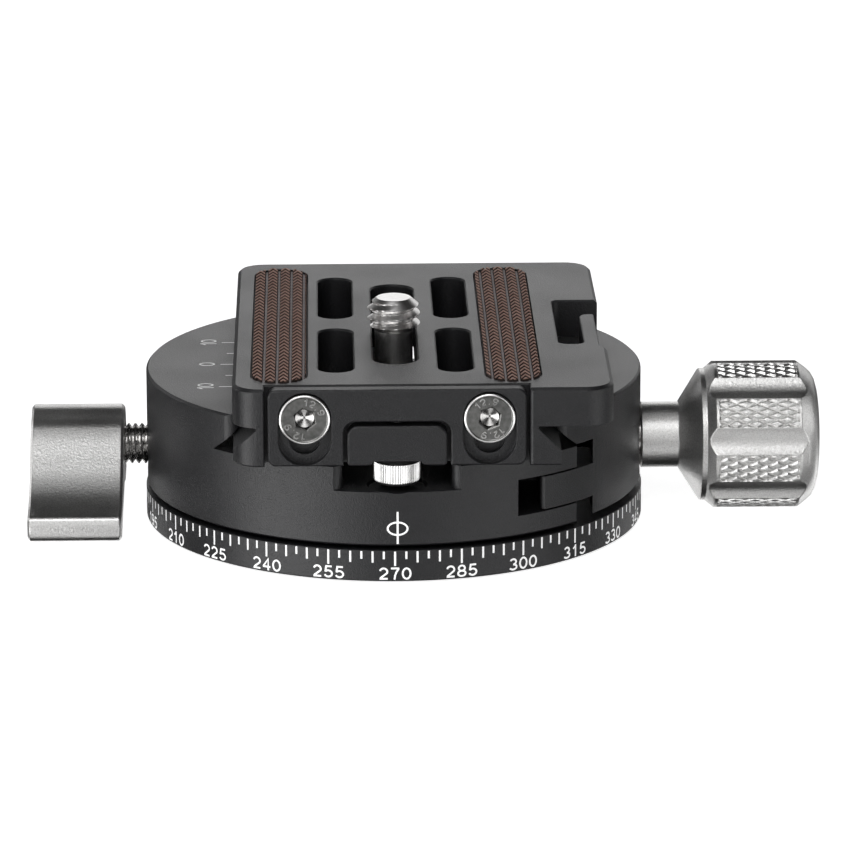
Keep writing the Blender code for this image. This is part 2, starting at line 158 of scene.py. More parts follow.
def blasted(name, dark, light, rough, grain=0.3):
    mat, nt, bsdf, vec = new_material(name)
    fine = noise(nt, vec, 6000, 2.0, 0.6)
    blast = noise(nt, vec, 3600, 2.0, 0.5)
    broad = noise(nt, vec, 140, 3.0, 0.5)
    nt.links.new(tinted(nt, fine, dark, light), bsdf.inputs["Base Color"])
    nt.links.new(ranged(nt, broad, rough - 0.03, rough + 0.03), bsdf.inputs["Roughness"])
    n = bump(nt, blast, grain, 0.00005)
    nt.links.new(bump(nt, fine, grain, 0.00003, n), bsdf.inputs["Normal"])
    bsdf.inputs["Metallic"].default_value = 1.0
    return mat


def machined(name, dark, light, rough, grain=0.05, stretch=(1, 1, 1), scale=1500):
    mat, nt, bsdf, vec = new_material(name)
    lines = noise(nt, vec, scale, 3.0, 0.6, stretch)
    broad = noise(nt, vec, 260, 2.0, 0.5)
    nt.links.new(tinted(nt, lines, dark, light), bsdf.inputs["Base Color"])
    nt.links.new(ranged(nt, broad, rough - 0.04, rough + 0.05), bsdf.inputs["Roughness"])
    nt.links.new(bump(nt, lines, grain, 0.00002), bsdf.inputs["Normal"])
    bsdf.inputs["Metallic"].default_value = 1.0
    return mat


def moulded(name, dark, light, rough, grain=0.3, scale=3000, spec=0.5):
    mat, nt, bsdf, vec = new_material(name)
    fine = noise(nt, vec, scale, 3.0, 0.6)
    broad = noise(nt, vec, 220, 3.0, 0.6)
    nt.links.new(tinted(nt, broad, dark, light), bsdf.inputs["Base Color"])
    nt.links.new(ranged(nt, fine, rough - 0.08, rough + 0.08), bsdf.inputs["Roughness"])
    nt.links.new(bump(nt, fine, grain, 0.00003), bsdf.inputs["Normal"])
    bsdf.inputs["Specular IOR Level"].default_value = spec
    return mat


BLACK = anodised("black_anodised_aluminium", (0.010, 0.010, 0.011), (0.018, 0.018, 0.020), 0.36)
SILVER = blasted("silver_blasted_aluminium", (0.66, 0.655, 0.645), (0.90, 0.895, 0.885), 0.36, 0.55)
STEEL = machined("turned_steel", (0.50, 0.49, 0.48), (0.68, 0.67, 0.66), 0.24)
# painted shade: the flange screws' heads are the same steel, coloured darker to stand in for the dark reflection on
# their faces
SHADED_HEAD_STEEL = machined("screw_head_steel_painted_shade", (0.17, 0.17, 0.165), (0.30, 0.30, 0.29), 0.38, 0.12)
STOP_STEEL = machined("bright_stop_screw_steel", (0.70, 0.70, 0.69), (0.86, 0.86, 0.85), 0.30, 0.04)
BRIGHT = machined("bright_screw_steel", (0.84, 0.83, 0.82), (0.95, 0.94, 0.93), 0.31, 0.03)
BRASS = machined("turned_brass", (0.60, 0.42, 0.18), (0.78, 0.58, 0.28), 0.28)


def ribbed_rubber(name):
    """Brown rib tops; painted shade makes the chevron gaps and the ribs' lower faces near black; the lowest level,
    between the columns, is light grey.
    """
    mat, nt, bsdf, vec = new_material(name)
    sep = nt.nodes.new("ShaderNodeSeparateXYZ")
    nt.links.new(vec, sep.inputs[0])
    level = ranged(nt, sep.outputs["Z"], 0.0, 1.0, (0.0230, 0.0236))
    # colour set by height: everything between the column floor and the rib tops is painted shade
    ramp = nt.nodes.new("ShaderNodeValToRGB")
    els = ramp.color_ramp.elements
    els[0].position = 0.14
    els[0].color = (0.40, 0.36, 0.37, 1)
    els[1].position = 0.26
    els[1].color = (0.020, 0.013, 0.011, 1)
    for pos, col in ((0.74, (0.040, 0.024, 0.018)), (0.84, (0.43, 0.255, 0.205))):
        e = els.new(pos)
        e.color = (*col, 1)
    nt.links.new(level, ramp.inputs["Fac"])
    broad = noise(nt, vec, 420, 3.0, 0.6)
    shade = nt.nodes.new("ShaderNodeMix")
    shade.data_type = 'RGBA'
    shade.blend_type = 'MULTIPLY'
    shade.inputs["Factor"].default_value = 1.0
    nt.links.new(ramp.outputs["Color"], shade.inputs["A"])
    nt.links.new(tinted(nt, broad, (0.80, 0.78, 0.76), (1.0, 1.0, 1.0)), shade.inputs["B"])
    nt.links.new(shade.outputs["Result"], bsdf.inputs["Base Color"])
    fine = noise(nt, vec, 4000, 3.0, 0.6)
    nt.links.new(ranged(nt, fine, 0.5, 0.72), bsdf.inputs["Roughness"])
    nt.links.new(bump(nt, fine, 0.35, 0.00003), bsdf.inputs["Normal"])
    bsdf.inputs["Specular IOR Level"].default_value = 0.4
    return mat


RUBBER = ribbed_rubber("brown_rubber")
POLYMER = moulded("white_polymer", (0.70, 0.70, 0.66), (0.80, 0.80, 0.77), 0.42, 0.1)
WHITE_INK = moulded("white_engraving", (0.78, 0.78, 0.78), (0.92, 0.92, 0.92), 0.6, 0.1, 4000, 0.2)
GREY_INK = moulded("grey_engraving", (0.80, 0.80, 0.80), (0.92, 0.92, 0.92), 0.6, 0.1, 4000, 0.2)
# painted light: the inks glow a little so the marks read brighter than their lighting makes them
for ink_mat, painted_glow in ((WHITE_INK, 0.32), (GREY_INK, 0.22)):
    shader = next(n for n in ink_mat.node_tree.nodes if n.type == 'BSDF_PRINCIPLED')
    shader.inputs["Emission Color"].default_value = (1, 1, 1, 1)
    shader.inputs["Emission Strength"].default_value = painted_glow


# ============================================================================
# Mesh helpers; shapes are drawn in millimetres and scaled at the end
# ============================================================================
def finish_mesh(name, mesh, mat, body, angle=32, nodes=(), smooth=True):
    mesh.transform(Matrix.Scale(MM, 4))
    mesh.update()
    if smooth:
        mesh.shade_smooth()
        if angle is not None:
            mesh.set_sharp_from_angle(angle=math.radians(angle))
    obj = bpy.data.objects.new(name, mesh)
    scene.collection.objects.link(obj)
    mesh.materials.clear()
    mesh.materials.append(mat)
    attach(obj, body)
    if nodes:
        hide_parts(*nodes)
    return obj


def bm_to_mesh(bm, name):
    bmesh.ops.recalc_face_normals(bm, faces=bm.faces)
    mesh = bpy.data.meshes.new(name)
    bm.to_mesh(mesh)
    bm.free()
    return mesh


def frame_for(axis, c):
    if axis == 'X':
        return lambda t, u, v: (c[0] + t, c[1] + u, c[2] + v)
    if axis == 'Y':
        return lambda t, u, v: (c[0] + v, c[1] + t, c[2] + u)
    return lambda t, u, v: (c[0] + u, c[1] + v, c[2] + t)


def turned(stations, axis='Z', centre=(0, 0, 0), segs=96, loop=False, radius=None, phase=0.0):
    """Turned solid through (t, r) stations as a bmesh; radius(t, r, angle) may shape each ring."""
    bm = bmesh.new()
    place = frame_for(axis, centre)
    rings = []
    for t, r in stations:
        if r == 0:
            rings.append([bm.verts.new(place(t, 0, 0))])
            continue
        ring = []
        for i in range(segs):
            a = phase + 2 * math.pi * i / segs
            rr = radius(t, r, a) if radius else r
            ring.append(bm.verts.new(place(t, rr * math.cos(a), rr * math.sin(a))))
        rings.append(ring)
    pairs = list(zip(rings, rings[1:]))
    if loop:
        pairs.append((rings[-1], rings[0]))
    for a, b in pairs:
        if len(a) == 1 and len(b) == 1:
            continue
        for i in range(segs):
            j = (i + 1) % segs
            if len(a) == 1:
                bm.faces.new((a[0], b[i], b[j]))
            elif len(b) == 1:
                bm.faces.new((a[i], b[0], a[j]))
            else:
                bm.faces.new((a[i], b[i], b[j], a[j]))
    return bm


def loft(outlines, axis='Z'):
    """Closed solid through outlines [(t, [(u, v), ...]), ...] with equal point counts."""
    n = len(outlines[0][1])
    keep = [i for i in range(n) if any(math.dist(pts[i], pts[i - 1]) > 1e-5 for _, pts in outlines)]
    outlines = [(t, [pts[i] for i in keep]) for t, pts in outlines]
    bm = bmesh.new()

    def at(p, t):
        if axis == 'X':
            return (t, p[0], p[1])
        if axis == 'Y':
            return (p[0], t, p[1])
        return (p[0], p[1], t)
    rings = [[bm.verts.new(at(p, t)) for p in pts] for t, pts in outlines]
    n = len(rings[0])
    for a, b in zip(rings, rings[1:]):
        for i in range(n):
            j = (i + 1) % n
            bm.faces.new((a[i], a[j], b[j], b[i]))
    bm.faces.new(rings[0])
    bm.faces.new(rings[-1])
    return bm


def prism(points, axis, lo, hi):
    return loft([(lo, points), (hi, points)], axis)


def inset(points, d):
    """Outline moved inwards by d; a negative d moves it outwards."""
    pts = [p for i, p in enumerate(points) if math.dist(p, points[i - 1]) > 1e-5]
    n = len(pts)
    area = sum(pts[i - 1][0] * pts[i][1] - pts[i][0] * pts[i - 1][1] for i in range(n))
    s = 1 if area > 0 else -1
    out = []
    for i in range(n):
        p0, p1, p2 = pts[i - 1], pts[i], pts[(i + 1) % n]
        l1, l2 = math.dist(p0, p1), math.dist(p1, p2)
        n1 = (-(p1[1] - p0[1]) / l1 * s, (p1[0] - p0[0]) / l1 * s)
        n2 = (-(p2[1] - p1[1]) / l2 * s, (p2[0] - p1[0]) / l2 * s)
        k = d / max(0.4, 1 + n1[0] * n2[0] + n1[1] * n2[1])
        out.append((p1[0] + (n1[0] + n2[0]) * k, p1[1] + (n1[1] + n2[1]) * k))
    return out


def slab(points, axis, lo, hi, edge_lo=0.0, edge_hi=0.0):
    """Prism whose two end edges are rounded over in two steps."""
    steps = []
    if edge_lo:
        steps += [(lo, inset(points, edge_lo)), (lo + edge_lo * 0.8, inset(points, edge_lo * 0.12))]
        steps += [(lo + edge_lo * 1.15, inset(points, 0))]
    else:
        steps += [(lo, inset(points, 0))]
    if edge_hi:
        steps += [(hi - edge_hi * 1.15, inset(points, 0)), (hi - edge_hi * 0.8, inset(points, edge_hi * 0.12)),
                  (hi, inset(points, edge_hi))]
    else:
        steps += [(hi, inset(points, 0))]
    return loft(steps, axis)


def opening(points, axis, deep, face, edge=0.2):
    """Cutter from deep to face and beyond, whose mouth at face is rounded by edge."""
    d = 1 if face > deep else -1
    return loft([(deep, inset(points, 0)), (face - d * edge * 1.15, inset(points, 0)),
                 (face - d * edge * 0.8, inset(points, -edge * 0.12)), (face, inset(points, -edge)),
                 (face + d * 1.5, inset(points, -edge - 1.5))], axis)


def arc(cx, cy, r, a0, a1, n=8):
    """Points on a circle from a0 to a1 degrees."""
    return [(cx + r * math.cos(math.radians(a0 + (a1 - a0) * k / n)),
             cy + r * math.sin(math.radians(a0 + (a1 - a0) * k / n))) for k in range(n + 1)]


def rounded(x0, x1, y0, y1, r, n=8):
    radii = r if isinstance(r, (tuple, list)) else (r, r, r, r)
    return (arc(x0 + radii[0], y0 + radii[0], radii[0], 180, 270, n)
            + arc(x1 - radii[1], y0 + radii[1], radii[1], 270, 360, n)
            + arc(x1 - radii[2], y1 - radii[2], radii[2], 0, 90, n)
            + arc(x0 + radii[3], y1 - radii[3], radii[3], 90, 180, n))


def cylinder(axis, lo, hi, r, centre=(0, 0, 0), segs=64):
    return turned([(lo, 0), (lo, r), (hi, r), (hi, 0)], axis, centre, segs)


class Solid:
    """A mesh in millimetres that other solids are cut from or joined to, then shaded with weighted normals."""

    def __init__(self, name, bm):
        self.obj = bpy.data.objects.new(name + "_work", bm_to_mesh(bm, name + "_work"))
        scene.collection.objects.link(self.obj)
        self.name = name

    def apply(self):
        dg = bpy.context.evaluated_depsgraph_get()
        mesh = bpy.data.meshes.new_from_object(self.obj.evaluated_get(dg))
        self.obj.modifiers.clear()
        old = self.obj.data
        self.obj.data = mesh
        bpy.data.meshes.remove(old)

    def boolean(self, bm, operation='DIFFERENCE'):
        tool = bpy.data.objects.new("tool", bm_to_mesh(bm, "tool"))
        scene.collection.objects.link(tool)
        mod = self.obj.modifiers.new("b", 'BOOLEAN')
        mod.operation = operation
        mod.solver = 'EXACT'
        mod.object = tool
        self.apply()
        data = tool.data
        bpy.data.objects.remove(tool)
        bpy.data.meshes.remove(data)
        return self

    def cut(self, bm):
        return self.boolean(bm)

    def join(self, bm):
        return self.boolean(bm, 'UNION')

    def keep(self, bm):
        return self.boolean(bm, 'INTERSECT')

    def clean(self, dist=0.004):
        bm = bmesh.new()
        bm.from_mesh(self.obj.data)
        bmesh.ops.remove_doubles(bm, verts=bm.verts, dist=dist)
        bmesh.ops.dissolve_limit(bm, angle_limit=math.radians(0.4), verts=bm.verts, edges=bm.edges)
        bm.to_mesh(self.obj.data)
        bm.free()
        return self

    def done(self, mat, body, nodes=(), slot=None, angle=20):
        mesh = self.obj.data
        mesh.shade_smooth()
        mesh.set_sharp_from_angle(angle=math.radians(angle))
        mod = self.obj.modifiers.new("w", 'WEIGHTED_NORMAL')
        mod.mode = 'FACE_AREA'
        mod.weight = 90
        mod.keep_sharp = True
        self.apply()
        mesh = self.obj.data
        bpy.data.objects.remove(self.obj)
        mesh.name = self.name
        return finish_mesh(self.name, mesh, mat, body, None, nodes, smooth=False)


def surface(name, points, mat, body, nodes=(), angle=None, ends=(True, True)):
    """Closed skin over a (rings, segments, 3) array of points; the ends close on their centres."""
    rings, segs, _ = points.shape
    verts = points.reshape(-1, 3)
    i = np.arange(segs)
    j = (i + 1) % segs
    quads = []
    for k in range(rings - 1):
        a = k * segs
        b = (k + 1) * segs
        quads.append(np.stack([a + i, a + j, b + j, b + i], 1))
    faces = np.concatenate(quads).tolist()
    verts = verts.tolist()
    if ends[0]:
        verts.append(points[0].mean(0).tolist())
        c = len(verts) - 1
        faces += [[c, int(j[q]), int(i[q])] for q in range(segs)]
    if ends[1]:
        verts.append(points[-1].mean(0).tolist())
        c = len(verts) - 1
        base = (rings - 1) * segs
        faces += [[c, base + int(i[q]), base + int(j[q])] for q in range(segs)]
    mesh = bpy.data.meshes.new(name)
    mesh.from_pydata(verts, [], faces)
    bm = bmesh.new()
    bm.from_mesh(mesh)
    bmesh.ops.recalc_face_normals(bm, faces=bm.faces)
    bm.to_mesh(mesh)
    bm.free()
    return finish_mesh(name, mesh, mat, body, angle, nodes)


def ring_points(axis, centre, t, r):
    """t: (rings,), r: (rings, segs) -> points (rings, segs, 3)."""
    segs = r.shape[1]
    a = 2 * np.pi * np.arange(segs) / segs
    u = r * np.cos(a)
    v = r * np.sin(a)
    t = np.broadcast_to(np.asarray(t, float)[:, None], r.shape)
    if axis == 'X':
        p = np.stack([t, u, v], 2)
    elif axis == 'Y':
        p = np.stack([v, t, u], 2)
    else:
        p = np.stack([u, v, t], 2)
    return p + np.array(centre, float)


# ============================================================================
# Figures: drawn as strokes of even width
# ============================================================================
def curve_pts(cx, cy, rx, ry, a0, a1, n=14):
    return [(cx + rx * math.cos(math.radians(a0 + (a1 - a0) * k / n)),
             cy + ry * math.sin(math.radians(a0 + (a1 - a0) * k / n))) for k in range(n + 1)]


GLYPH_W = 0.76
GLYPHS = {
    "0": [curve_pts(0.38, 0.5, 0.31, 0.43, 0, 360, 28)],
    "1": [[(0.16, 0.68), (0.30, 0.77), (0.40, 0.88), (0.44, 0.97)], [(0.44, 1.0), (0.44, 0.0)]],
    "2": [curve_pts(0.38, 0.66, 0.29, 0.27, 168, -28) + [(0.42, 0.36), (0.20, 0.19), (0.10, 0.07)],
          [(0.05, 0.07), (0.70, 0.07)]],
    "3": [curve_pts(0.36, 0.71, 0.26, 0.22, 155, -90), curve_pts(0.36, 0.28, 0.31, 0.21, 90, -158)],
    "4": [[(0.53, 0.0), (0.53, 0.94), (0.07, 0.29)], [(0.04, 0.29), (0.73, 0.29)]],
    "5": [[(0.66, 0.93), (0.20, 0.93), (0.13, 0.47)], curve_pts(0.37, 0.33, 0.31, 0.26, 140, -158)],
    "6": [curve_pts(0.38, 0.32, 0.30, 0.25, 0, 360, 24), curve_pts(0.41, 0.46, 0.33, 0.47, 48, 190)],
    "7": [[(0.05, 0.93), (0.70, 0.93)], [(0.68, 0.93), (0.50, 0.66), (0.38, 0.36), (0.33, 0.0)]],
    "8": [curve_pts(0.38, 0.71, 0.25, 0.22, 0, 360, 24), curve_pts(0.38, 0.28, 0.31, 0.22, 0, 360, 24)],
    "9": [curve_pts(0.38, 0.68, 0.30, 0.25, 0, 360, 24), curve_pts(0.35, 0.54, 0.33, 0.47, 228, 370)],
    ".": [[(0.30, 0.07), (0.44, 0.07)]],
}


def stroke_quads(points, t):
    pts = [np.array(p, float) for p in points]
    closed = np.linalg.norm(pts[0] - pts[-1]) < 1e-6
    n = len(pts)
    left, right = [], []
    for i in range(n):
        if closed and i in (0, n - 1):
            d = (pts[1] - pts[0]) / np.linalg.norm(pts[1] - pts[0]) \
                + (pts[-1] - pts[-2]) / np.linalg.norm(pts[-1] - pts[-2])
        elif i == 0:
            d = pts[1] - pts[0]
        elif i == n - 1:
            d = pts[-1] - pts[-2]
        else:
            a = (pts[i] - pts[i - 1]) / np.linalg.norm(pts[i] - pts[i - 1])
            b = (pts[i + 1] - pts[i]) / np.linalg.norm(pts[i + 1] - pts[i])
            d = a + b
        d = d / np.linalg.norm(d)
        k = 1.0
        if 0 < i < n - 1:
            k = min(1.8, 1 / max(0.3, float(np.dot(d, (pts[i + 1] - pts[i]) / np.linalg.norm(pts[i + 1] - pts[i])))))
        nrm = np.array([-d[1], d[0]]) * t / 2 * k
        left.append(pts[i] + nrm)
        right.append(pts[i] - nrm)
    co = np.array([(*p, 0) for p in left + right])
    faces = [[k, n + k, n + k + 1, k + 1] for k in range(n - 1)]
    return co, faces


def figures(words, height, advance, stroke):
    """Flat strokes for a number centred on the origin; advance and stroke are parts of the height."""
    total = advance * (len(words) - 1) + GLYPH_W
    co, faces = [], []
    for k, ch in enumerate(words):
        for st in GLYPHS[ch]:
            c, f = stroke_quads(st, stroke)
            base = sum(len(x) for x in co)
            c[:, 0] += k * advance - total / 2
            c[:, 1] -= 0.5
            co.append(c * [height, height, 1])
            faces += [[base + i for i in face] for face in f]
    return np.concatenate(co), faces


class Decal:
    """Collects flat shapes and lays them on a surface as thin marks."""

    def __init__(self):
        self.verts = []
        self.faces = []

    def add(self, co, faces):
        base = len(self.verts)
        self.verts += [tuple(map(float, c)) for c in co]
        self.faces += [[base + i for i in f] for f in faces]

    def done(self, name, mat, body, slot=None):
        mesh = bpy.data.meshes.new(name)
        mesh.from_pydata(self.verts, [], self.faces)
        return finish_mesh(name, mesh, mat, body, None, (), smooth=False)


def on_cylinder(co, angle, z0, radius):
    """Wrap flat (x, y) shapes round the Z axis: angle is the shape's centre, 0 at the front, growing to +X."""
    a = angle + co[:, 0] / radius
    return np.stack([radius * np.sin(a), -radius * np.cos(a), z0 + co[:, 1]], 1)


def bar(x0, x1, y0, y1, n=1):
    xs = np.linspace(x0, x1, n + 1)
    co = [(x, y0, 0) for x in xs] + [(x, y1, 0) for x in xs]
    faces = [[k, k + 1, n + 2 + k, n + 1 + k] for k in range(n)]
    return np.array(co, float), faces


# ============================================================================
# Graduated base
# ============================================================================
BASE_R = 30.17
base = Solid("graduated_base_skin", turned([
    (0.0, 6.6), (0.0, BASE_R - 0.16), (0.05, BASE_R - 0.05), (0.16, BASE_R),
    (3.66, BASE_R), (3.76, BASE_R - 0.04), (3.8, BASE_R - 0.14),
    (3.8, 20.0), (2.6, 20.0), (2.6, 14.0), (3.8, 14.0),
    (3.8, 9.8), (11.0, 9.8), (11.1, 9.7), (11.1, 6.6)], segs=288, loop=True))
for k in range(3):
    a = math.radians(90 + 120 * k)
    base.cut(cylinder('Z', 5.2, 12.0, 1.3, (8.2 * math.cos(a), 8.2 * math.sin(a), 0), 24))
base.done(BLACK, "base", ["graduated_base"], "black_anodised")

DIAL_ZERO = 270.6            # reading under the index mark
marks = Decal()
DIAL_R = BASE_R + 0.012
for k in range(144):
    value = k * 2.5
    angle = math.radians(value - DIAL_ZERO)
    length = 1.76 if k % 6 == 0 else (1.37 if k % 2 == 0 else 0.93)
    co, faces = bar(-0.12, 0.12, 3.68 - length, 3.68)
    marks.add(on_cylinder(co, angle, 0.0, DIAL_R), faces)
for k in range(24):
    co, faces = figures(str(15 * k), 1.47, 0.915, 0.155)
    marks.add(on_cylinder(co, math.radians(15 * k - DIAL_ZERO), 0.985, DIAL_R), faces)
marks.done("dial_marks", WHITE_INK, "base", "black_anodised")


# ============================================================================
# Rotating clamp body
# ============================================================================
BODY_R = 29.99
Z0, Z1 = 4.3, 18.3


def lip_end(sx, sy):
    """Plan of what a rounded corner leaves out at the end of a clamping lip."""
    r = 1.35
    a = math.radians(42.6)
    cx, cy = (BODY_R - r) * math.sin(a), (BODY_R - r) * math.cos(a)
    pts = [(cx + r * math.sin(math.radians(t)), cy + r * math.cos(math.radians(t)))
           for t in range(42, -61, -6)]
    pts += [(16.9, 18.6), (15.0, 18.6), (15.0, 32.0), (21.6, 32.0)]
    return [(sx * x, sy * y) for x, y in pts]


body = Solid("clamp_body_skin", turned([
    (Z0, 0), (Z0, BODY_R - 0.2), (Z0 + 0.2, BODY_R), (Z1 - 0.3, BODY_R), (Z1 - 0.24, BODY_R - 0.02),
    (Z1, BODY_R - 0.25), (Z1, 0)], segs=240))
body.cut(prism([(-17.12, 20), (-17.12, Z1), (-17.0, Z1 - 0.06), (-16.95, Z1 - 0.18), (-21.52, 13.7), (21.3, 13.7),
                (21.3, 3), (32, 3), (32, 20)], 'Y', -32, 32))
body.cut(turned([(3, 0), (3, 10.2), (10.6, 10.2), (10.6, 12.4), (15, 12.4), (15, 0)], segs=96))
for sign in (-1, 1):
    body.cut(prism(lip_end(-1, sign), 'Z', 13.72, 19.5))
    mouth = [(6.4, 13.5), (6.4, 27.9)] + [(7.4 - math.cos(math.radians(t)), 27.9 + math.sin(math.radians(t)))
                                          for t in range(12, 91, 13)] + [(7.8, 31.0)]
    mouth = mouth + [(-x, y) for x, y in reversed(mouth)]
    body.cut(prism([(x, sign * y) for x, y in mouth], 'Z', 10.8, 15))
    body.cut(turned([(10.55, 0), (10.55, 3.3), (10.9, 3.65), (11.2, 3.65), (11.2, 0)], 'Z', (0, sign * 26.6, 0), 64))
    y0, y1 = sorted((sign * 11.7, sign * 33))
    body.cut(loft([(14.2, [(y0, 6.75), (y1, 6.75), (y1, 11.15), (y0, 11.15)]),
                   (23.0, [(y0, 6.75), (y1, 6.75), (y1, 11.15), (y0, 11.15)])], 'X'))
    body.cut(cylinder('X', 16.5, 23, 2.1, (0, sign * 8.0, 9.05), 32))
body.cut(cylinder('X', 11.5, 23, 3.9, (0, 0, 9.05), 48))
body.cut(turned([(-33, 0), (-33, 3.4), (-29.95, 3.0), (-29.4, 2.8), (-13.95, 2.8), (-13.95, 1.9), (-9.0, 1.9),
                 (-9.0, 0)], 'X', (0, 0, 8.46), 48))
body.clean()
body.done(BLACK, "clamp", ["clamp_body"], "black_anodised")

ink = Decal()
INDEX_R = BODY_R + 0.008
co, faces = bar(-0.12, 0.12, 4.55, 8.46)
ink.add(on_cylinder(co, 0.0, 0.0, INDEX_R), faces)
n = 48
outer = [(1.27 * math.cos(2 * math.pi * i / n), 0.87 * math.sin(2 * math.pi * i / n), 0) for i in range(n)]
inner = [(1.04 * math.cos(2 * math.pi * i / n), 0.65 * math.sin(2 * math.pi * i / n), 0) for i in range(n)]
ink.add(on_cylinder(np.array(outer + inner), 0.0, 6.41, INDEX_R),
        [[i, (i + 1) % n, n + (i + 1) % n, n + i] for i in range(n)])
ink.done("index_mark", WHITE_INK, "clamp", "black_anodised")

travel = Decal()
TOP = Z1 + 0.008
for y, long in ((10, True), (5, False), (0, True), (-5, False), (-10, True)):
    co, faces = bar(-21.0 if long else -20.3, -17.4, y * 1.02 - 0.10, y * 1.02 + 0.10)
    co[:, 2] = TOP
    travel.add(co, faces)
for y, words in ((10, "10"), (0, "0"), (-10, "10")):
    co, faces = figures(words, 2.0, 0.66, 0.115)
    # the figures' tops point to -X and they read towards +Y
    travel.add(np.stack([-22.62 - co[:, 1], y * 1.02 + 0.1 + co[:, 0], np.full(len(co), TOP)], 1), faces)
travel.done("travel_scale", GREY_INK, "clamp", "black_anodised")


# ============================================================================
# Moving jaw
# ============================================================================
def segment(x, r, edge=0.2, n=40):
    """Plan of a slice of a disc beyond x, its two sharp corners taken off."""
    half = math.degrees(math.acos((x + edge) / r))
    y = r * math.sin(math.radians(half))
    return [(x, -(y - edge * 0.9)), *arc(0, 0, r, -half, half, n), (x, y - edge * 0.9)]


jaw = Solid("moving_jaw_skin", slab(segment(16.0, BODY_R), 'Z', 4.6, Z1, 0.2, 0.25))
jaw.cut(prism([(15, 3), (23.3, 3), (23.3, 13.95), (21.27, 13.95), (16.95, Z1 - 0.18), (17.0, Z1 - 0.06),
               (17.12, Z1), (17.12, 20), (15, 20)], 'Y', -32, 32))
for sign in (-1, 1):
    jaw.cut(prism(lip_end(1, sign), 'Z', 13.97, 19.5))
    # the vertical edges of the gap
    ye = sign * math.sqrt(BODY_R ** 2 - 23.3 ** 2)
    jaw.cut(prism([(23.2, ye - sign * 0.24), (23.2, ye + sign * 1.0), (23.62, ye + sign * 1.0), (23.54, ye - sign * 0.1)],
                  'Z', 4, 13.9))
tongues = []
for sign in (-1, 1):
    y0, y1 = sorted((sign * 12.0, sign * 31.0))
    ridge = Solid("tongue", loft([(16.9, [(y0, 7.1), (y1, 7.1), (y1, 10.8), (y0, 10.8)]),
                                  (17.05, [(y0, 6.95), (y1, 6.95), (y1, 10.95), (y0, 10.95)]),
                                  (24.3, [(y0, 6.95), (y1, 6.95), (y1, 10.95), (y0, 10.95)])], 'X'))
    ridge.keep(turned([(4, 0), (4, BODY_R), (19, BODY_R), (19, 0)], segs=240))
    # rounded front corner of the tongue
    ye = math.sqrt(BODY_R ** 2 - 16.9 ** 2)
    corner = [(16.8, ye - 0.9)] + [(16.9 + 0.75 * (1 - math.cos(math.radians(t))),
                                    ye - 0.9 + 0.55 * math.sin(math.radians(t))) for t in range(10, 91, 16)]
    corner += [(17.65, ye + 2), (16.8, ye + 2)]
    ridge.cut(prism([(x, sign * y) for x, y in corner], 'Z', 6, 12))
    bm = bmesh.new()
    bm.from_mesh(ridge.obj.data)
    bpy.data.objects.remove(ridge.obj)
    jaw.join(bm)
jaw.cut(turned([(22, 0), (22, 2.9), (28.6, 2.9), (28.6, 4.5), (33, 4.5), (33, 0)], 'X', (0, 0, 9.05), 64))
for sign in (-1, 1):
    jaw.cut(cylinder('X', 22, 24.9, 2.1, (0, sign * 8.0, 9.05), 32))
jaw.clean()
jaw.done(BLACK, "jaw", ["moving_jaw"], "black_anodised")


# ============================================================================
# Clamp knob: turned, fluted and diamond knurled
# ============================================================================
KNOB_R = 8.95
AXIS_Z = 9.05


def knob():
    segs = 1008
    profile = [(30.0, 3.75), (30.15, 4.0), (34.5, 4.0), (34.62, 4.06), (37.05, 7.93), (37.2, 8.05),
               (37.78, 8.05), (37.86, 8.12), (38.75, 8.89), (38.85, 8.95), (49.05, 8.95), (49.15, 8.90),
               (50.05, 8.17), (50.12, 8.12), (50.75, 7.55), (51.15, 6.8), (51.4, 5.9), (51.5, 5.2)]
    fine = np.arange(39.0, 49.0, 0.07).tolist()
    flute_ends = np.linspace(37.95, 38.75, 8).tolist() + np.linspace(49.2, 50.3, 10).tolist()
    xs = np.array(sorted(set(round(x, 4) for x in [p[0] for p in profile] + fine + flute_ends)))
    base_r = np.interp(xs, [p[0] for p in profile], [p[1] for p in profile])
    a = 2 * np.pi * np.arange(segs) / segs
    pitch = 2 * np.pi / 8
    first = math.radians(170.5)
    off = (a - first + pitch / 2) % pitch - pitch / 2
    across = KNOB_R * np.sin(off)
    flute = np.where(np.abs(across) < 1.60, KNOB_R - 0.64 * (1 - (across / 1.60) ** 2), 99.0)
    # knurl: raised diamonds 2.43 mm long and 1.04 mm round
    rounds = 2 * math.pi * KNOB_R / 54
    u = xs[:, None] / 2.43 + a[None] * KNOB_R / rounds
    v = xs[:, None] / 2.43 - a[None] * KNOB_R / rounds
    du = np.abs(u - np.round(u)) * 2
    dv = np.abs(v - np.round(v)) * 2
    height = np.clip(np.minimum(du, dv) / 0.50, 0, 1)
    land = np.clip((np.abs(across) - 1.70) / 0.10, 0, 1)[None]
    along = (np.clip((xs - 39.2) / 0.10, 0, 1) * np.clip((48.85 - xs) / 0.10, 0, 1))[:, None]
    groove = 0.27 * (1 - height) * land * along
    r = np.minimum(base_r[:, None] - groove, flute[None])
    r = np.where(xs[:, None] < 37.85, base_r[:, None], r)
    pts = ring_points('X', (0, 0, AXIS_Z), xs, r)
    inner = np.array([(45.0, 2.8), (30.0, 2.8)])
    bore = ring_points('X', (0, 0, AXIS_Z), inner[:, 0], np.repeat(inner[:, 1:2], segs, 1))
    return surface("clamp_knob_skin", np.concatenate([bore, pts]), SILVER, "clamp_knob", ["clamp_knob"],
                   26)


knob()


